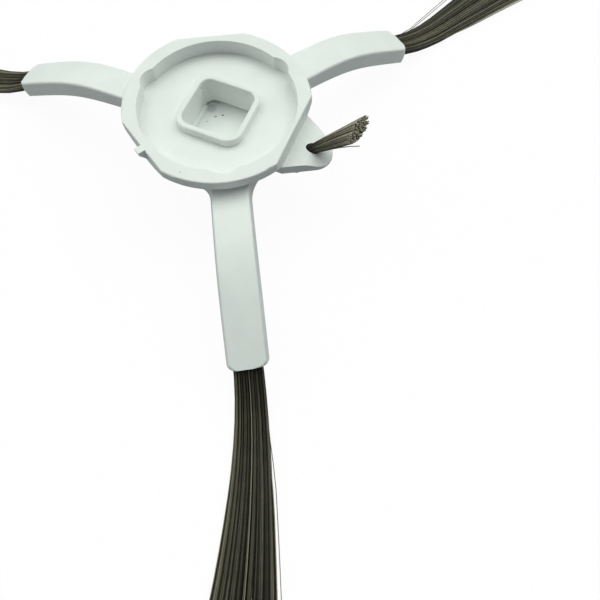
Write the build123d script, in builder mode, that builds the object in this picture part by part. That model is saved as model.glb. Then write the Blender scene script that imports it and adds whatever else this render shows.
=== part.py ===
from build123d import *
import os
from math import atan2, cos, radians, sin, tan

# Robot vacuum side brush: a three-armed plastic hub with a long bristle tuft moulded into the end of each
# arm, and a short tuft in an ear beside the rim. The origin is on the drive axis in the plane of the rim's
# top face. +Z points to the motor, +X to the ear. The brush lies on its tufts.

# Rim and cup
rim_radius = 18.0
rim_height = 2.0            # upright band of the flange
rim_flat = 16.7             # drive axis to the two plain flats
ear_flat = 15.9             # drive axis to the flat behind the ear
cup_radius = 16.2           # top of the wall, below the flange
foot_radius = 13.8          # foot of the wall
flange_slope = 2.6          # height of the slope from the flange to the cup wall
cup_depth = 9.2             # rim plane to the lowest point of the underside
underside_dome = 0.6        # how far the underside lifts at its edge
underside_round = 1.6
rim_edge = 0.3              # rounding of the rim's outer top edge

# Recess in the open side
recess_radius = 15.2
recess_depth = 3.0
scallop_radius = 3.2
scallop_centre = 12.9       # drive axis to the centre of each scallop

# Square drive socket
socket_side = 11.35
socket_corner = 2.0
socket_depth = 7.6          # rim plane to the socket floor
collar_wall = 1.15
collar_drop = 1.4           # rim plane to the collar's top
collar_edge = 0.3
snap_depth = 0.5            # latch groove at the foot of the two Y walls
snap_height = 0.6
snap_width = 9.6
ledge_depth = 0.7           # stop ledge at the foot of the two X walls
ledge_height = 0.6

# Arms
arm_count = 3
arm_width = 6.9             # top face, at the drive axis
arm_end_width = 6.75
arm_offset = 0.7            # the middle line of each arm passes the drive axis on its leading side
arm_draft = 0.55            # how far each flank leans out at the bottom
arm_thickness = 2.95
arm_root_thickness = 2.25
arm_reach = 48.9            # drive axis to the top edge of an arm's end
arm_root = 12.5             # drive axis to the inner end, inside the cup
arm_root_drop = 3.5         # rim plane to the arm's top at its inner end
arm_root_slope = 1.45
arm_fold = 31.2             # drive axis to the middle of the bend
arm_droop = 25.4            # slope past the bend
arm_tilt = 3.8              # the leading edge of each arm stands higher
arm_end_slant = 42.0        # the end face, from upright
arm_corner = 1.5
arm_edge = 0.5
arm_root_half = 6.0         # half width of an arm's root, under the flange
flare_radius = 15.0         # the round under the flange that the arms flare into
flare_leading = 7.0         # rounding between it and the leading flank
flare_trailing = 3.5

# Ear and nub
ear_drop = 3.6              # rim plane to the ear's top
ear_thickness = 2.0
ear_base = 13.0             # width at the flat
ear_reach = 23.5
ear_tip_radius = 3.7
ear_fold = 19.8             # where the top starts to fall towards the tip
ear_nose_slope = 24.0
ear_fold_round = 5.0
nub_width = 1.4
nub_depth = 1.26
nub_height = 2.6
nub_face = 0.65             # upright part of its outer face
nub_shift = 0.5             # from the middle of its flat

# Long tufts
tuft_width = 5.5            # at the arm's end
tuft_thickness = 2.1
tuft_corner = 1.0
root_length = 6.0           # fused root inside the arm
root_flare = 0.6            # the root widens inwards, so it can't be pulled out, in degrees a side
bristle_length = 42.5
tip_width = 12.8
tip_thickness = 1.7
fan_power = 1.6             # the bundle opens slowly at first
bundle_power = 2.6          # squareness of a bundle's oval: 2 is an ellipse
ridge_count = 14            # locks of bristles across the bundle
ridge_groove = 0.3
floor_drop = 18.4           # rim plane to the floor under the tufts
tip_split = 16.0            # longest gap between two locks at the tip
tip_split_least = 8.0
split_width = 0.55
station_count = 5           # spans between the cross-sections of a tuft

# Short tuft
short_hole = 2.3
short_root_length = 5.0
short_root_flare = 1.0
short_wall = 1.1            # boss round the hole under the ear
short_place = 20.0          # drive axis to the middle of the hole's mouth
short_rise = 42.0           # degrees above the rim plane
short_swing = 11.5          # degrees from the ear's direction
short_length = 11.0
short_slant = 22.0          # the cut end leans, with the longest bristles towards the right tuft
short_tip_width = 5.0
short_tip_thickness = 3.0
short_ridges = 7
short_groove = 0.2
short_clearance = 0.25      # the loose bristles stand clear of the hole's edge

os.makedirs("parts", exist_ok=True)

# Flats and arms take turns round the rim, with the first flat at the ear.
flat_turns = [360 / arm_count * i for i in range(arm_count)]
scallop_turn = 180 / arm_count
arm_turns = [turn + scallop_turn for turn in flat_turns]
droop = radians(arm_droop)
tilt = radians(arm_tilt)


def bundle_outline(width, thickness, ridges, groove):
    """Outline of a bundle of bristles: a flattened oval with ridges along both faces."""
    half = [width / 2, thickness / 2]

    def surface(x, inset):
        return half[1] * (1 - abs(x / half[0]) ** bundle_power) ** (1 / bundle_power) - inset

    steps = 2 * ridges
    top = []
    for i in range(1, steps):
        x = half[0] * (2 * i / steps - 1)
        top.append((x, surface(x, 0 if i % 2 else groove)))
    bottom = [(-x, -y) for x, y in top]
    return [(-half[0], 0), *top, (half[0], 0), *bottom]


def bundle_section(plane, width, thickness, ridges, groove):
    """One cross-section of a bundle, on its plane."""
    with BuildSketch(plane) as section:
        with BuildLine():
            Polyline(*bundle_outline(width, thickness, ridges, groove), close=True)
        make_face()
    return section.sketch


# Side view of an arm: it falls gently from the cup and bends into a steeper droop. Each bend is drawn
# towards the point where the two slopes would meet.
root_fall = radians(arm_root_slope)
mean_fall = (root_fall + droop) / 2
root_top = Vector(arm_root, -arm_root_drop)
fold_top = root_top + Vector(1, -tan(root_fall)) * (arm_fold - arm_root)
end_top = fold_top + Vector(1, -tan(droop)) * (arm_reach - arm_fold)
root_bottom = root_top - Vector(sin(root_fall), cos(root_fall)) * arm_root_thickness
slant = radians(arm_end_slant)
end_bottom = end_top - Vector(sin(slant), cos(slant)) * arm_thickness / cos(slant - droop)
fold_bottom = fold_top - Vector(sin(mean_fall), cos(mean_fall)) * arm_thickness / cos(droop - mean_fall)
across = Vector(0, cos(tilt), sin(tilt))
end_middle = (end_top + end_bottom) / 2
end_face = Plane(
    origin=(end_middle.X, 0, end_middle.Y),
    x_dir=across,
    z_dir=across.cross(Vector(sin(droop), 0, cos(droop))),
)

# The top of an arm: straight sides in plan, with a flare where it goes under the flange
arm_half = arm_width / 2
cut_half = arm_root_half + arm_thickness


def side_view(half):
    """Plane of an arm's side view, half a width to its trailing side."""
    return Plane(origin=across * -half, x_dir=(1, 0, 0), z_dir=(0, -1, 0))


with BuildPart() as arm_slab:
    with BuildSketch(side_view(arm_root_half)):
        with BuildLine():
            Bezier(root_top, fold_top, fold_top, end_top)
            Line(end_top, end_bottom)
            Line(end_bottom, root_bottom)
            Line(root_bottom, root_top)
        make_face()
    extrude(amount=2 * arm_root_half, dir=across)
    with BuildSketch() as plan:
        Circle(flare_radius)
        with BuildLine():
            Polyline(
                (0, arm_offset - arm_half),
                (arm_reach, -arm_end_width / 2),
                (arm_reach, arm_end_width / 2),
                (0, arm_offset + arm_half),
                close=True,
            )
        make_face()
        fillet(plan.vertices().sort_by(Axis.X)[-2:], arm_corner)
        fillet(plan.vertices().sort_by(Axis.X)[:2].sort_by(Axis.Y)[-1], flare_leading)
        fillet(plan.vertices().sort_by_distance((flare_radius, -arm_half))[0], flare_trailing)
    extrude(amount=-2 * floor_drop, mode=Mode.INTERSECT)
    arm_top = arm_slab.faces().filter_by(lambda f: f.normal_at().Z > 0.5)

# An arm: the top carried down to either side, so that the flanks lean out, and cut to the side view
end_over = end_top * 2 - end_bottom
root_over = root_top + Vector(0, floor_drop)

with BuildPart() as arm:
    for draft in (arm_draft, -arm_draft):
        extrude(arm_top, amount=2 * arm_thickness, dir=Vector(0, draft, -arm_thickness).normalized())
    with BuildSketch(side_view(cut_half)):
        with BuildLine():
            Polyline(root_bottom, root_over, end_over, end_bottom)
            Bezier(end_bottom, fold_bottom, fold_bottom, root_bottom)
        make_face()
    extrude(amount=2 * cut_half, dir=across, mode=Mode.INTERSECT)
    top_edges = arm.faces().filter_by(lambda f: f.normal_at().Z > 0.5).edges()
    long_edges = top_edges.filter_by(lambda e: abs(e.center().Y) > arm_half / 2)
    fillet(long_edges.filter_by(lambda e: e.center().X > cup_radius), arm_edge)


def turned(plane, turn):
    """The plane, carried round the drive axis."""
    return Plane(Rot(0, 0, turn) * plane.location)


def fused_root(turn, mode=Mode.ADD):
    """The melted root of a long tuft, in the end of the arm at this turn."""
    with BuildSketch(turned(end_face, turn)) as mouth:
        RectangleRounded(tuft_width, tuft_thickness, tuft_corner)
    extrude(mouth.sketch, amount=-root_length, taper=-root_flare, mode=mode)


# The ear: a tongue that tapers to a round tip and falls away past its fold, with a gusset underneath that
# gives the slanted bristle hole its depth.
rise = radians(short_rise)
swing = radians(short_swing)
hole_mouth = Vector(short_place, 0, -ear_drop)
short_axis = Vector(cos(rise) * cos(swing), cos(rise) * sin(swing), sin(rise))
short_plane = Plane(origin=hole_mouth, x_dir=(-sin(swing), cos(swing), 0), z_dir=short_axis)
gusset_plane = Plane(origin=hole_mouth, x_dir=(cos(swing), sin(swing), 0), z_dir=(sin(swing), -cos(swing), 0))
boss_radius = short_hole / 2 + short_wall
boss_length = short_root_length + short_wall


def short_root(mode=Mode.ADD):
    """The melted root of the short tuft, in its hole in the ear."""
    with BuildSketch(short_plane) as mouth:
        Circle(short_hole / 2)
    extrude(mouth.sketch, amount=-short_root_length, taper=-short_root_flare, mode=mode)


with BuildPart() as ear:
    with BuildSketch(Plane.XY.offset(-ear_drop)):
        with Locations((ear_reach - ear_tip_radius, 0)):
            Circle(ear_tip_radius)
        with Locations((ear_flat, 0)):
            Rectangle(ear_flat - recess_radius / 2, ear_base, align=(Align.MAX, Align.CENTER))
        make_hull()
    extrude(amount=-ear_thickness)
    nose_run = ear_reach - ear_fold + rim_edge
    with BuildSketch(Plane.XZ):
        with BuildLine():
            Polyline(
                (ear_fold, -ear_drop),
                (ear_fold + nose_run, -ear_drop),
                (ear_fold + nose_run, -ear_drop - nose_run * tan(radians(ear_nose_slope))),
                close=True,
            )
        make_face()
    extrude(amount=ear_base, both=True, mode=Mode.SUBTRACT)
    fold_edge = ear.edges().filter_by(Axis.Y).sort_by_distance((ear_fold, 0, -ear_drop))[0]
    fillet(fold_edge, ear_fold_round)
    gusset_low = -boss_length * sin(rise) - boss_radius * cos(rise)
    gusset_inner = -boss_length * cos(rise) + boss_radius * sin(rise)
    gusset_outer = gusset_inner - (gusset_low + ear_thickness) / tan(rise)
    with BuildSketch(gusset_plane):
        with BuildLine():
            Polyline(
                (gusset_outer, -ear_thickness),
                (gusset_inner, gusset_low),
                (-boss_length, gusset_low),
                (-boss_length, -ear_thickness),
                close=True,
            )
        make_face()
    extrude(amount=boss_radius, both=True)

with BuildPart() as hub_body:
    # Cup: a turned form with the flange at the top and a shallow dome underneath
    underside_edge = -cup_depth + underside_dome
    with BuildSketch(Plane.XZ) as cup_profile:
        with BuildLine():
            Polyline(
                (0, -cup_depth),
                (0, 0),
                (rim_radius, 0),
                (rim_radius, -rim_height),
                (cup_radius, -rim_height - flange_slope),
                (foot_radius, underside_edge),
            )
            TangentArc((0, -cup_depth), (foot_radius, underside_edge), tangent=(1, 0))
        make_face()
        fillet(cup_profile.vertices().sort_by_distance((foot_radius, underside_edge))[0], underside_round)
    revolve(axis=Axis.Z)
    for turn in flat_turns:
        flat = rim_flat if turn else ear_flat
        outwards = Vector(1, 0, 0).rotate(Axis.Z, turn)
        split(bisect_by=Plane(origin=outwards * flat, z_dir=outwards), keep=Keep.BOTTOM)
    rim_top = hub_body.faces().sort_by(Axis.Z)[-1]
    fillet(rim_top.edges(), rim_edge)

    # Arms and ear grow out of the cup; the nub is a small wedge on the last flat
    for turn in arm_turns:
        add(arm.part, rotation=(0, 0, turn))
    add(ear.part)
    with BuildSketch(turned(Plane.XZ.offset(-nub_shift), flat_turns[-1])):
        with BuildLine():
            Polyline(
                (rim_flat - nub_depth, 0),
                (rim_flat + nub_depth, 0),
                (rim_flat + nub_depth, -nub_face),
                (rim_flat, -nub_height),
                (rim_flat - nub_depth, -nub_height),
                close=True,
            )
        make_face()
    extrude(amount=nub_width / 2, both=True)

    # Recess with a scallop towards each arm
    with BuildSketch():
        Circle(recess_radius)
        with PolarLocations(scallop_centre, arm_count, start_angle=scallop_turn):
            Circle(scallop_radius)
    extrude(amount=-recess_depth, mode=Mode.SUBTRACT)

    # Drive socket: a square hole in a raised collar, with latch grooves and stop ledges at its floor
    with BuildSketch(Plane.XY.offset(-recess_depth)):
        collar_side = socket_side + 2 * collar_wall
        RectangleRounded(collar_side, collar_side, socket_corner + collar_wall)
    extrude(amount=recess_depth - collar_drop)
    with BuildSketch(Plane.XY.offset(-collar_drop)):
        RectangleRounded(socket_side, socket_side, socket_corner)
    extrude(amount=collar_drop - socket_depth, mode=Mode.SUBTRACT)
    collar_top = hub_body.faces().filter_by(Axis.Z).sort_by_distance((socket_side / 2, 0, -collar_drop))[0]
    fillet(collar_top.edges(), collar_edge)
    with Locations((0, 0, -socket_depth)):
        Box(
            snap_width,
            socket_side + 2 * snap_depth,
            snap_height,
            align=(Align.CENTER, Align.CENTER, Align.MIN),
            mode=Mode.SUBTRACT,
        )
    for side in (1, -1):
        with Locations((side * (socket_side - ledge_depth) / 2, 0, -socket_depth)):
            Box(
                ledge_depth,
                socket_side - 2 * socket_corner,
                ledge_height,
                align=(Align.CENTER, Align.CENTER, Align.MIN),
            )

    # Seats of the tufts
    for turn in arm_turns:
        fused_root(turn, Mode.SUBTRACT)
        with BuildSketch(turned(end_face, turn)):
            RectangleRounded(tuft_width, tuft_thickness, tuft_corner)
        extrude(amount=arm_thickness / 2, mode=Mode.SUBTRACT)
    short_root(Mode.SUBTRACT)
    with BuildSketch(short_plane):
        Circle(short_hole / 2)
    extrude(amount=2 * short_hole, mode=Mode.SUBTRACT)

hub_body.part.label = "hub_body"
export_step(hub_body.part, "parts/hub_body.step")

# A long tuft leaves the arm along its droop, bends onto the floor and fans out along it.
tuft_start = end_face.origin
lay_drop = tuft_start.Z + floor_drop - tuft_thickness / 2
lay_radius = lay_drop / (1 - cos(droop))
lay_length = lay_radius * droop


def long_station(s, sweep, bend):
    """Plane of a long tuft at s along it, with the bundle's width and thickness there."""
    share = s / bristle_length
    laid = max(0, (s - lay_length) / (bristle_length - lay_length))
    width = tuft_width + (tip_width - tuft_width) * share**fan_power
    thickness = tuft_thickness + (tip_thickness - tuft_thickness) * laid
    if s == 0:
        return end_face, width, thickness
    fall = droop * max(0, 1 - s / lay_length)
    heading = atan2(sweep * bend * share ** (bend - 1), bristle_length)
    along = lay_radius * (sin(droop) - sin(fall)) + max(0, s - lay_length)
    height = tuft_start.Z - lay_radius * (cos(fall) - cos(droop)) - (tuft_thickness - thickness) / 2
    plane = Plane(
        origin=(tuft_start.X + along, tuft_start.Y + sweep * share**bend, height),
        x_dir=(-cos(fall) * sin(heading), cos(heading), sin(fall) * sin(heading)),
        z_dir=(cos(fall) * cos(heading), sin(heading), -sin(fall) * cos(heading)),
    )
    return plane, width, thickness


def tip_gap(gap, sweep, bend):
    """Plan of the V-shaped gap between two locks of bristles at a long tuft's tip."""
    length = tip_split_least + (tip_split - tip_split_least) * abs(sin(2 * gap + sweep))
    corners = []
    for s, opening in ((bristle_length - length, 0), (bristle_length, -1), (bristle_length, 1)):
        plane, width, _ = long_station(s, sweep, bend)
        across_tuft = width * (gap / ridge_count - 0.5) + opening * split_width / 2
        corners.append(plane.from_local_coords((across_tuft, 0, abs(opening) * split_width)))
    return corners


# Sideways sweep of each tuft's tip, and how late on its way the tuft bends to it
tufts = {"right_tuft": (1.5, 1.0), "left_tuft": (5.0, 1.0), "front_tuft": (-5.5, 1.6)}
for turn, (name, lay) in zip(arm_turns, tufts.items()):
    with BuildPart() as tuft:
        fused_root(turn)
        sections = []
        for i in range(station_count + 1):
            plane, width, thickness = long_station(bristle_length * i / station_count, *lay)
            sections.append(bundle_section(turned(plane, turn), width, thickness, ridge_count, ridge_groove))
        loft(sections)
        for gap in range(2, ridge_count - 1, 2):
            corners = [corner.rotate(Axis.Z, turn) for corner in tip_gap(gap, *lay)]
            with BuildSketch(Plane.XY.offset(-floor_drop - tip_thickness)):
                with BuildLine():
                    Polyline(*[(corner.X, corner.Y) for corner in corners], close=True)
                make_face()
            extrude(amount=3 * tip_thickness, mode=Mode.SUBTRACT)
    tuft.part.label = name
    export_step(tuft.part, f"parts/{name}.step")

with BuildPart() as short_tuft:
    short_root()
    sections = []
    for i in range(station_count + 1):
        share = i / station_count
        opening = share**fan_power
        mouth_size = short_hole - short_clearance
        width = mouth_size + (short_tip_width - mouth_size) * opening
        thickness = mouth_size + (short_tip_thickness - mouth_size) * opening
        plane = short_plane.offset(short_length * share).rotated((0, short_slant * share, 0))
        sections.append(bundle_section(plane, width, thickness, short_ridges, short_groove))
    loft(sections)

short_tuft.part.label = "short_tuft"
export_step(short_tuft.part, "parts/short_tuft.step")
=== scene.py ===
import math
import random

import bpy
from mathutils import Matrix, Vector


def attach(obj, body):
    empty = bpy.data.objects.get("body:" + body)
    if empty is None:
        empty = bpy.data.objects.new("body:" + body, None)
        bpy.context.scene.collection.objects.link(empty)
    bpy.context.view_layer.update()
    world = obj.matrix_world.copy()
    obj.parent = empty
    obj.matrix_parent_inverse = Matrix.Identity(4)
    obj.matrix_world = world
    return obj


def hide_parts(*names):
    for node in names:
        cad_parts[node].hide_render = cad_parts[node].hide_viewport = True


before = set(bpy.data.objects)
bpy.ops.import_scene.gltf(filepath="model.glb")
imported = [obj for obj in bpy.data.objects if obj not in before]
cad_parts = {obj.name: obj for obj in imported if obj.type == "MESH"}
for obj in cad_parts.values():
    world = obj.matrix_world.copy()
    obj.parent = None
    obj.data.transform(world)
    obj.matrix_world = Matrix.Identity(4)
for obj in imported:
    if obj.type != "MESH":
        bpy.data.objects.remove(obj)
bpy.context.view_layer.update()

# Hub: one white moulding with the rim, the cup, the drive socket, the ear and the three arms.
# It is injection moulded in a satin tool, so its skin has a fine grain and hardly any gloss.
# Use has left a few dark specks. Shade is painted into the back corner of the socket: a grey crescent
# along its foot and a grey patch on its floor.
MM = 0.001
hub_white = (0.868, 0.9, 0.875, 1)
hub_shade = (0.828, 0.862, 0.838, 1)
hub_gloss = 0.35
hub_roughness = 0.46
roughness_spread = 0.16
grain_size = 0.12 * MM
grain_depth = 0.006 * MM
grain_strength = 0.5
grain_detail = 1
cloud_size = 7 * MM
cloud_detail = 3
cloud_low = 0.3
cloud_high = 0.7
socket_floor = -7.6 * MM
# Painted shade: a soft grey patch on the socket floor near its back-left corner.
socket_shade_grey = (0.58, 0.6, 0.59, 1)
socket_shade_place = (-4.3 * MM, 3.8 * MM, socket_floor)
socket_shade_radius = 1.5 * MM
socket_shade_core = 0.35
socket_shade_cover = 0.7
speck_grey = (0.16, 0.15, 0.13, 1)
speck_core = 0.5
speck_cover = 1
specks = [
    ((-2.72 * MM, 2.13 * MM, socket_floor), 0.2 * MM),
    ((-2.5 * MM, 2.3 * MM, socket_floor), 0.16 * MM),
    ((-1.46 * MM, 3.04 * MM, socket_floor), 0.22 * MM),
    ((-1.25 * MM, 3.16 * MM, socket_floor), 0.16 * MM),
    ((-3.66 * MM, 0.44 * MM, socket_floor), 0.15 * MM),
    ((-5.67 * MM, 3.7 * MM, -2.5 * MM), 0.2 * MM),
    ((0.75 * MM, -16.7 * MM, 0), 0.13 * MM),
]
# Painted shade: a grey crescent along the foot of the socket's back corner, where the walls shade the
# floor.
crevice_shade_grey = (0.27, 0.275, 0.27, 1)
crevice_centre = (-3.675 * MM, 3.675 * MM, -7.4 * MM)
crevice_round = 2.05 * MM
crevice_radius = 0.4 * MM
crevice_core = 0.3
crevice_cover = 0.7
crevice_turns = range(84, 168, 12)


class Signal:
    """A socket in a node tree, which takes part in sums."""

    def __init__(self, tree, socket=None):
        self.tree = tree
        self.socket = socket

    def node(self, kind, settings=None, inputs=None, output=0):
        """Adds a node, sets it up, fills or links its sockets and gives one of its outputs."""
        made = self.tree.nodes.new(kind)
        for name, value in (settings or {}).items():
            setattr(made, name, value)
        for name, value in (inputs or {}).items():
            if isinstance(value, Signal):
                self.tree.links.new(value.socket, made.inputs[name])
            else:
                made.inputs[name].default_value = value
        return Signal(self.tree, made.outputs[output])

    def math(self, operation, *values):
        return self.node("ShaderNodeMath", {"operation": operation}, dict(enumerate(values)))

    def __add__(self, other):
        return self.math("ADD", self, other)

    def __sub__(self, other):
        return self.math("SUBTRACT", self, other)

    def __rsub__(self, other):
        return self.math("SUBTRACT", other, self)

    def __mul__(self, other):
        return self.math("MULTIPLY", self, other)

    __radd__ = __add__
    __rmul__ = __mul__

    def rise(self, low, high):
        """0 below low and 1 above high, with a soft step between."""
        ends = {"Value": self, "From Min": low, "From Max": high}
        return self.node("ShaderNodeMapRange", {"interpolation_type": "SMOOTHSTEP"}, ends)

    def blend(self, first, second):
        """The colour that lies between first and second by this share.

        The Mix node takes colours in its inputs 6 and 7 and gives one in its output 2.
        """
        ends = {0: self, 6: first, 7: second}
        return self.node("ShaderNodeMix", {"data_type": "RGBA"}, ends, output=2)

    def noise(self, place, size, detail):
        """Cloudy values around 0.5, with blots of the given size."""
        ends = {"Vector": place, "Scale": 1 / size, "Detail": detail}
        return self.node("ShaderNodeTexNoise", None, ends)

    def gap(self, spot):
        """How far this place is from a spot."""
        ends = {0: self, 1: spot}
        return self.node("ShaderNodeVectorMath", {"operation": "DISTANCE"}, ends, output="Value")


def new_material(name):
    """A material with a plain Principled shader, and a signal to build its nodes from."""
    made = bpy.data.materials.new(name)
    made.use_nodes = True
    shader = made.node_tree.nodes["Principled BSDF"]
    return made, Signal(made.node_tree), shader


def plug(signal, shader, socket):
    """Links a signal to one of a shader's sockets."""
    signal.tree.links.new(signal.socket, shader.inputs[socket])


def stain_and_shade(colour, place, spot, radius, core, cover, grey):
    """The colour with a round grey spot on it, which is even in its core and soft outside it. It is
    used both for real stains and for painted shade.
    """
    share = 1 - place.gap(spot).rise(core * radius, radius)
    return (share * cover).blend(colour, grey)


hub_plastic, build, shader = new_material("hub_plastic")
place = build.node("ShaderNodeTexCoord", output="Object")
cloud = build.noise(place, cloud_size, cloud_detail)
colour = cloud.rise(cloud_low, cloud_high).blend(hub_shade, hub_white)
# Painted shade on the socket floor near its back-left corner.
colour = stain_and_shade(colour, place, socket_shade_place, socket_shade_radius, socket_shade_core, socket_shade_cover, socket_shade_grey)
for spot, radius in specks:
    colour = stain_and_shade(colour, place, spot, radius, speck_core, speck_cover, speck_grey)
# Painted shade: grey spots in a row round the foot of the socket's back corner.
for turn in crevice_turns:
    around = Vector((math.cos(math.radians(turn)), math.sin(math.radians(turn)), 0))
    spot = Vector(crevice_centre) + around * crevice_round
    colour = stain_and_shade(colour, place, spot, crevice_radius, crevice_core, crevice_cover, crevice_shade_grey)
grain = build.noise(place, grain_size, grain_detail)
skin = build.node(
    "ShaderNodeBump", None, {"Strength": grain_strength, "Distance": grain_depth, "Height": grain}
)
plug(colour, shader, "Base Color")
plug(cloud * roughness_spread + (hub_roughness - roughness_spread / 2), shader, "Roughness")
plug(skin, shader, "Normal")
shader.inputs["Specular IOR Level"].default_value = hub_gloss
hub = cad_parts["hub_body"]
hub.data.materials.clear()
hub.data.materials.append(hub_plastic)

# Long tufts: three flat bundles of dark taupe nylon filaments, each moulded into the end of an arm.
# A bundle leaves the mouth dense, lies down on the floor and opens into a fan of locks.
# The drawn filaments are paler at one edge of the fan, and a few strays stand off beside it.
filament_sides = 5
filament_steps = 11
filament_radius = 0.085 * MM
filament_crease = math.radians(80)
ring_digits = 4
heading_step = 0.01
mouth = (47.87 * MM, 0, -13.522 * MM)
droop = math.radians(25.4)
tilt = math.radians(3.8)
hidden_root = 2.5 * MM
bristle_length = 42.5 * MM
tip_spread = 1.2 * MM
root_width = 5.5 * MM
fan_power = 1.6
bulge_start = 2 * MM
root_thickness = 2.1 * MM
tip_thickness = 1.7 * MM
bundle_power = 2.6
lay_radius = 39.604 * MM
lay_length = lay_radius * droop
lock_count = 30
filaments_per_lock = 15
lock_squeeze = 0.9
squeeze_power = 4
lock_drift = 0.12 * MM
filament_drift = 0.12 * MM
drift_power = 1.5
groove_depth = 0.6
groove_power = 2
groove_sink = 0.4
groove_rhythm = 0.382
# Painted shade: sunk locks and the edges of every lock are darkened, where the grooves between locks
# lie in shadow.
groove_shade = 0.75
lock_tone_low = 0.3
lock_tone_high = 0.97
lock_edge_shade = 0.4
lock_edge_power = 3
filament_tone = 0.3
fringe_start = 0.8
fringe_light = 0.15
stray_opening = 0.25
stray_power = 1.5
stray_sink = 0.2
stray_tone = 0.7
stray_fade = 0.4
lift_power = 2
streak_size = 2.2 * MM
streak_detail = 2
streak_share = 0.3
tone_mid = 0.6
tone_tan = 1.2
cut_end_start = 0.988
cut_end_full = 0.996
bristle_gloss = 0.35
bristle_roughness = 0.36
tone_roughness = 0.16
# The root keys set painted shade, which darkens the bundle towards its root.
long_finish = {
    "dark": (0.0145, 0.0135, 0.0085, 1),
    "mid": (0.108, 0.104, 0.066, 1),
    "tan": (0.34, 0.3, 0.205, 1),
    "cut_end": (0.34, 0.3, 0.205, 1),
    "root_shade_start": 0.02,
    "root_shade_end": 0.3,
    "root_shade_level": 0.4,
}
# Turn is in degrees. Sweep and bend curve a bundle sideways, bulge widens the side of its sign, and
# fringe is the side with the pale edge. A stray has its place across the bundle at its start and its
# end, the share of the length at which it leaves the bundle, and its tip's lift in millimetres.
# Shade is painted shade: it darkens a whole bundle for how the lamps fall on it, and lightens it
# where it is below 0.
long_tufts = {
    "right_tuft": {
        "turn": 60,
        "sweep": 1.5 * MM,
        "bend": 1.0,
        "tip_width": 12.8 * MM,
        "bulge": -0.45 * MM,
        "fringe": -1,
        "shade": 0.0,
        "seed": 11,
        "strays": [
            (0.95, 1.38, 0.1, 0.5),
            (0.92, 1.28, 0.1, 0.2),
            (-0.95, -1.16, 0.3, 0.3),
            (-0.97, -1.1, 0.35, 0.1),
            (-0.93, -1.06, 0.25, 0.2),
            (-0.96, -1.03, 0.3, 0.0),
        ],
    },
    "left_tuft": {
        "turn": 180,
        "sweep": 5.0 * MM,
        "bend": 1.0,
        "tip_width": 12.8 * MM,
        "bulge": 1.0 * MM,
        "fringe": 1,
        "shade": -0.12,
        "seed": 23,
        "strays": [
            (0.95, 1.15, 0.4, 0.4),
            (-0.95, -1.2, 0.4, 0.3),
        ],
    },
    "front_tuft": {
        "turn": 300,
        "sweep": -5.75 * MM,
        "bend": 1.6,
        "tip_width": 11.9 * MM,
        "bulge": 0.1 * MM,
        "fringe": 1,
        "shade": 0.19,
        "seed": 37,
        "strays": [
            (0.97, 1.17, 0.22, 0.2),
            (0.95, 1.05, 0.3, 0.4),
            (-0.98, -1.03, 0.3, 0.3),
        ],
    },
}


def model_filament(name, sides, steps):
    """A straight filament of radius 1 and length 1 along Z, with flat cut ends."""
    bpy.ops.object.select_all(action="DESELECT")
    bpy.ops.mesh.primitive_circle_add(vertices=sides, radius=1, fill_type="NGON")
    made = bpy.context.object
    made.name = name
    bpy.ops.object.mode_set(mode="EDIT")
    bpy.ops.mesh.select_all(action="SELECT")
    for step in range(steps):
        bpy.ops.mesh.extrude_region_move(TRANSFORM_OT_translate={"value": (0, 0, 1 / steps)})
    bpy.ops.mesh.select_all(action="SELECT")
    bpy.ops.mesh.normals_make_consistent(inside=False)
    bpy.ops.object.mode_set(mode="OBJECT")
    bpy.ops.object.shade_smooth_by_angle(angle=filament_crease)
    along = made.data.attributes.new("along", "FLOAT", "POINT")
    along.data.foreach_set("value", [vertex.co.z for vertex in made.data.vertices])
    return made


def lay_filament(model, path, across, radius, tone, fade):
    """A copy of the filament with its own mesh, bent along the path, paler by fade at its tip."""
    made = model.copy()
    made.data = model.data.copy()
    bpy.context.collection.objects.link(made)
    rings = {}
    for vertex in made.data.vertices:
        share = round(vertex.co.z, ring_digits)
        if share not in rings:
            ahead = (path(share + heading_step) - path(share - heading_step)).normalized()
            side = (across - ahead * across.dot(ahead)).normalized()
            rings[share] = path(share), side, side.cross(ahead)
        centre, side, top = rings[share]
        vertex.co = centre + side * (vertex.co.x * radius) + top * (vertex.co.y * radius)
    tones = made.data.attributes.new("tone", "FLOAT", "POINT")
    shares = [row.value for row in made.data.attributes["along"].data]
    tones.data.foreach_set("value", [tone + fade * share for share in shares])
    return made


def gather(made, name, material, node):
    """Joins filaments into one piece that takes the place of its CAD node."""
    bpy.ops.object.select_all(action="DESELECT")
    for piece in made:
        piece.select_set(True)
    bpy.context.view_layer.objects.active = made[0]
    bpy.ops.object.join()
    bundle = bpy.context.object
    bundle.name = name
    bundle.data.name = name
    bundle.data.materials.clear()
    bundle.data.materials.append(material)
    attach(bundle, "root")
    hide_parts(node)


def bristle_material(name, finish):
    """Drawn nylon: each filament has its tone and a pale cut end, with shade painted darker towards
    the bundle's root.
    """
    made, build, shader = new_material(name)
    place = build.node("ShaderNodeTexCoord", output="Object")
    tone = build.node("ShaderNodeAttribute", {"attribute_name": "tone"}, output="Fac")
    along = build.node("ShaderNodeAttribute", {"attribute_name": "along"}, output="Fac")
    streak = build.noise(place, streak_size, streak_detail) - 0.5
    level = tone + streak * streak_share
    colour = level.rise(0, tone_mid).blend(finish["dark"], finish["mid"])
    colour = level.rise(tone_mid, tone_tan).blend(colour, finish["tan"])
    # Painted shade: the filaments darken towards the root, where their hole and the bundle shade
    # them.
    clear = along.rise(finish["root_shade_start"], finish["root_shade_end"])
    light = clear * (1 - finish["root_shade_level"]) + finish["root_shade_level"]
    colour = light.blend(finish["dark"], colour)
    colour = along.rise(cut_end_start, cut_end_full).blend(colour, finish["cut_end"])
    plug(colour, shader, "Base Color")
    plug(bristle_roughness + tone * tone_roughness, shader, "Roughness")
    shader.inputs["Specular IOR Level"].default_value = bristle_gloss
    return made


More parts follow.
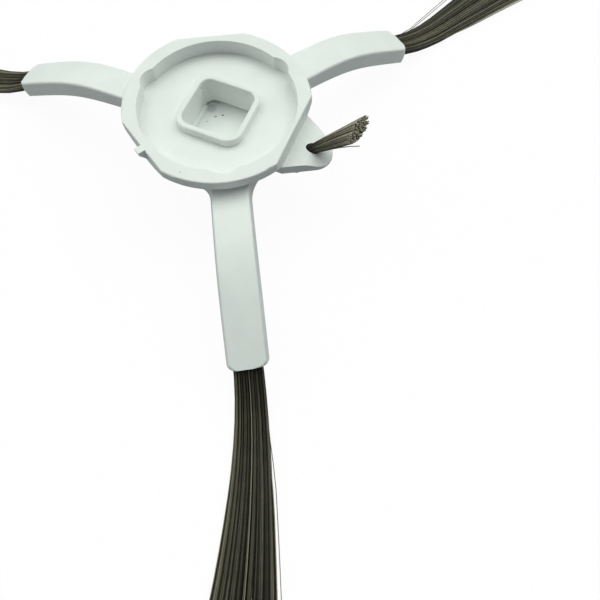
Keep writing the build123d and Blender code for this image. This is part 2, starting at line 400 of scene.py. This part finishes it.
def long_path(tuft, stand, depth, drift, lift, cut):
    """The way of one filament out of its arm, and the direction across the arm's mouth.

    Stand gives its place across the bundle at each share of the length, and depth is its place
    in the bundle's thickness, both from -1 to 1.
    """
    turn = Matrix.Rotation(math.radians(tuft["turn"]), 3, "Z")
    reach = bristle_length - cut
    bulge_side = math.copysign(1, tuft["bulge"])

    def path(share):
        along = -hidden_root + share * (reach + hidden_root)
        out = max(0, along)
        part = out / bristle_length
        flat = min(1, out / lay_length)
        if along < 0:
            ahead = along * math.cos(droop)
            up = -along * math.sin(droop)
        else:
            fall = droop * (1 - flat)
            ahead = lay_radius * (math.sin(droop) - math.sin(fall)) + max(0, along - lay_length)
            up = -lay_radius * (math.cos(fall) - math.cos(droop))
        width = root_width + (tuft["tip_width"] - root_width) * part**fan_power
        thickness = root_thickness + (tip_thickness - root_thickness) * flat
        lean = tilt * (1 - flat)
        aside = (width / 2 - filament_radius) * stand(part)
        bulge = tuft["bulge"] * max(0, stand(part) * bulge_side) * (1 - part)
        across = tuft["sweep"] * part ** tuft["bend"] + aside * math.cos(lean)
        across += bulge * min(1, out / bulge_start) + drift * part**drift_power
        up += aside * math.sin(lean) + (thickness / 2 - filament_radius) * depth
        up += lift * part**lift_power - (root_thickness - thickness) / 2
        return turn @ (Vector(mouth) + Vector((ahead, across, up)))

    return path, turn @ Vector((0, math.cos(tilt), math.sin(tilt)))


def lock_stand(start, end):
    """Where a filament stands across the bundle, which is drawn into its lock at the tip."""

    def stand(part):
        return start + (end - start) * part**squeeze_power

    return stand


def stray_stand(start, end, leave):
    """Where a stray stands across the bundle, which it leaves at a share of the length."""

    def stand(part):
        away = max(0, min(1, (part - leave) / stray_opening))
        return start + (end - start) * away**stray_power

    return stand


long_filament = model_filament("long_filament", filament_sides, filament_steps)
bristles = bristle_material("bristles", long_finish)
for tuft_name, tuft in long_tufts.items():
    draw = random.Random(tuft["seed"])
    laid = []
    for lock in range(lock_count):
        middle = -1 + (2 * lock + 1) / lock_count
        # Locks that sink into a groove, and the edges of each lock, get painted shade.
        sunk = lock * groove_rhythm % 1 < groove_rhythm
        lock_tone = draw.uniform(lock_tone_low, lock_tone_high) - groove_shade * sunk - tuft["shade"]
        wander = draw.uniform(-lock_drift, lock_drift)
        for filament in range(filaments_per_lock):
            offset = draw.uniform(-1, 1)
            start = max(-1, min(1, middle + offset / lock_count))
            room = (1 - abs(start) ** bundle_power) ** (1 / bundle_power)
            height = 1 - groove_depth * abs(offset) ** groove_power - groove_sink * sunk
            depth = draw.uniform(-1, height) * room
            stand = lock_stand(start, middle + lock_squeeze * offset / lock_count)
            drift = wander + draw.uniform(-filament_drift, filament_drift)
            edge = max(0, start * tuft["fringe"] - fringe_start) / (1 - fringe_start)
            tone = lock_tone + draw.uniform(-filament_tone, filament_tone) + fringe_light * edge
            tone -= lock_edge_shade * abs(offset) ** lock_edge_power
            cut = draw.uniform(0, tip_spread)
            path, across = long_path(tuft, stand, depth, drift, 0, cut)
            laid.append(lay_filament(long_filament, path, across, filament_radius, tone, edge))
    for start, end, leave, lift in tuft["strays"]:
        stand = stray_stand(start, end, leave)
        path, across = long_path(tuft, stand, lift - stray_sink, 0, lift * MM, 0)
        laid.append(
            lay_filament(long_filament, path, across, filament_radius, stray_tone, stray_fade)
        )
    gather(laid, tuft_name + "_filaments", bristles, tuft_name)
bpy.data.objects.remove(long_filament)

# Short tuft: a round bundle of coarser taupe filaments pressed into the slanted hole in the ear.
# It opens like a small broom above the hole, with one stray on its low side.
# It was sheared off at a slant, so the pale cut ends of its filaments show.
short_sides = 6
short_steps = 6
short_radius = 0.125 * MM
short_count = 200
short_seed = 5
golden_angle = math.pi * (3 - math.sqrt(5))
angle_jitter = 0.2
short_mouth = (20.0 * MM, 0, -3.6 * MM)
short_rise = 42
short_swing = 11.5
short_slant = math.tan(math.radians(34))
short_length = 11.0 * MM
short_cut = 0.7 * MM
short_uneven = 0.4 * MM
short_hidden = 2.5 * MM
short_root = 2.05 * MM
short_width = 5.0 * MM
short_thickness = 3.0 * MM
short_fan_power = 0.85
short_strands = 7
strand_tone = 0.3
short_tone = 0.1
short_tone_jitter = 0.25
short_fade = 0.85
short_stray_radius = 0.1 * MM
short_stray_aside = -0.8
short_stray_above = -0.5
short_stray_reach = 0.95 * short_length
short_stray_spread = -0.55
short_stray_power = 2
short_stray_tone = 0.5
# The root keys set painted shade, a dark ring where the bundle leaves its hole.
short_finish = {
    "dark": (0.02, 0.018, 0.01, 1),
    "mid": (0.165, 0.15, 0.102, 1),
    "tan": (0.47, 0.43, 0.335, 1),
    "cut_end": (0.5, 0.46, 0.35, 1),
    "root_shade_start": 0.17,
    "root_shade_end": 0.34,
    "root_shade_level": 0.1,
}


def direction(azimuth, elevation):
    """The unit vector that points so many degrees round from X and up from the level."""
    turn = math.radians(azimuth)
    rise = math.radians(elevation)
    return Vector(
        (math.cos(rise) * math.cos(turn), math.cos(rise) * math.sin(turn), math.sin(rise))
    )


def short_path(aside, above, reach, spread=0):
    """The way of one short filament, straight in the hole and opening above it.

    Aside and above are its place in the round of the bundle, from -1 to 1.
    """

    def path(share):
        along = -short_hidden + share * (reach + short_hidden)
        part = max(0, along) / short_length
        opening = part**short_fan_power
        width = short_root + (short_width - short_root) * opening
        thickness = short_root + (short_thickness - short_root) * opening
        stand = aside + spread * part**short_stray_power
        side = short_across * (stand * (width / 2 - short_radius))
        top = short_top * (above * (thickness / 2 - short_radius))
        return Vector(short_mouth) + short_axis * along + side + top

    return path


short_axis = direction(short_swing, short_rise)
short_across = direction(short_swing + 90, 0)
short_top = short_axis.cross(short_across)
short_filament = model_filament("short_filament", short_sides, short_steps)
short_bristles = bristle_material("short_bristles", short_finish)
draw = random.Random(short_seed)
laid = []
for count in range(short_count):
    ring = math.sqrt((count + 0.5) / short_count)
    angle = count * golden_angle + draw.uniform(-angle_jitter, angle_jitter)
    aside = ring * math.cos(angle)
    above = ring * math.sin(angle)
    reach = short_length - short_cut + short_slant * aside * short_width / 2
    reach -= draw.uniform(0, short_uneven)
    path = short_path(aside, above, reach)
    tone = short_tone + strand_tone * math.sin(short_strands * angle)
    tone += draw.uniform(-short_tone_jitter, short_tone_jitter)
    laid.append(lay_filament(short_filament, path, short_across, short_radius, tone, short_fade))
path = short_path(short_stray_aside, short_stray_above, short_stray_reach, short_stray_spread)
laid.append(
    lay_filament(
        short_filament, path, short_across, short_stray_radius, short_stray_tone, short_fade
    )
)
gather(laid, "short_tuft_filaments", short_bristles, "short_tuft")
bpy.data.objects.remove(short_filament)

# Floor: a plain white sheet that the tufts lie on.
# The camera sees it white with a faint shadow, and it throws little light back up.
floor_height = -18.4 * MM
floor_size = 3.0
floor_white = (1, 1, 1, 1)
floor_bounce = (0.33, 0.345, 0.36, 1)
floor_glow = 0.95
glow_strength = 1.0
bpy.ops.object.select_all(action="DESELECT")
bpy.ops.mesh.primitive_plane_add(size=floor_size, location=(0, 0, 0))
floor = bpy.context.object
floor.name = "floor"
bpy.ops.object.mode_set(mode="EDIT")
bpy.ops.mesh.select_all(action="SELECT")
bpy.ops.transform.translate(value=(0, 0, floor_height))
bpy.ops.object.mode_set(mode="OBJECT")
floor_sheet, build, shader = new_material("floor_sheet")
seen = build.node("ShaderNodeLightPath", output="Is Camera Ray")
bounce = build.node("ShaderNodeBsdfDiffuse", None, {"Color": floor_bounce})
white = build.node("ShaderNodeBsdfDiffuse", None, {"Color": floor_white})
glow = build.node("ShaderNodeEmission", None, {"Color": floor_white, "Strength": glow_strength})
shown = build.node("ShaderNodeMixShader", None, {0: floor_glow, 1: white, 2: glow})
sheet = build.node("ShaderNodeMixShader", None, {0: seen, 1: bounce, 2: shown})
plug(sheet, floor_sheet.node_tree.nodes["Material Output"], "Surface")
floor_sheet.node_tree.nodes.remove(shader)
floor.data.materials.append(floor_sheet)

# Studio light: a dim, faintly blue room with broad soft lamps round the table, each far away.
# The strongest stands behind the brush on the right, so the flanks that face the camera lie in shade.
# The camera sees the room white.
room_level = 0.15
room_tint = (0.94, 0.95, 1, 1)
room_white = (1, 1, 1, 1)
lamp_angle = math.radians(50)
lamp_tint = (0.94, 1, 0.945)
lamps = {
    "lamp_back_right": {"azimuth": 66.2, "elevation": 55, "level": 0.485},
    "lamp_back_left": {"azimuth": 156.2, "elevation": 55, "level": 0.28},
    "lamp_left": {"azimuth": 201.2, "elevation": 55, "level": 0.11},
    "lamp_low_right": {"azimuth": 36.0, "elevation": 12, "level": 0.13},
    "lamp_low_left": {"azimuth": 193.0, "elevation": 10, "level": 0.21},
}
world = bpy.data.worlds.new("room")
bpy.context.scene.world = world
world.use_nodes = True
room = world.node_tree.nodes["Background"]
seen = Signal(world.node_tree).node("ShaderNodeLightPath", output="Is Camera Ray")
plug(seen.blend(room_tint, room_white), room, "Color")
plug(seen * (1 - room_level) + room_level, room, "Strength")
for lamp_name, setting in lamps.items():
    outwards = direction(setting["azimuth"], setting["elevation"])
    bpy.ops.object.light_add(type="SUN", location=outwards)
    lamp = bpy.context.object
    lamp.name = lamp_name
    lamp.data.energy = math.pi * setting["level"]
    lamp.data.angle = lamp_angle
    lamp.data.color = lamp_tint
    lamp.rotation_mode = "QUATERNION"
    lamp.rotation_quaternion = (-outwards).to_track_quat("-Z", "Y")

# Camera: the photograph's place and lens, looking down on the socket side.
# Its place, its turn and its focal length were fitted to the photograph by least squares.
camera_place = Vector((39.595 * MM, -57.413 * MM, 75.515 * MM))
camera_pitch = -1.211905
camera_yaw = 0.36036
camera_roll = -0.032276
camera_lens = 30.085
camera_sensor = 36.0
camera_near = 1 * MM
camera_far = 10
turned = Matrix.Rotation(camera_yaw, 3, "Z") @ Matrix.Rotation(camera_pitch, 3, "X")
right, forward, up = (turned @ Matrix.Rotation(camera_roll, 3, "Y")).transposed()
bpy.ops.object.camera_add(location=camera_place)
camera = bpy.context.object
camera.name = "camera"
camera.data.lens = camera_lens
camera.data.sensor_width = camera_sensor
camera.data.clip_start = camera_near
camera.data.clip_end = camera_far
axes = Matrix((right, up, -forward)).transposed()
camera.matrix_world = Matrix.Translation(camera_place) @ axes.to_4x4()
bpy.context.scene.camera = camera
bpy.context.scene.view_settings.view_transform = "Standard"
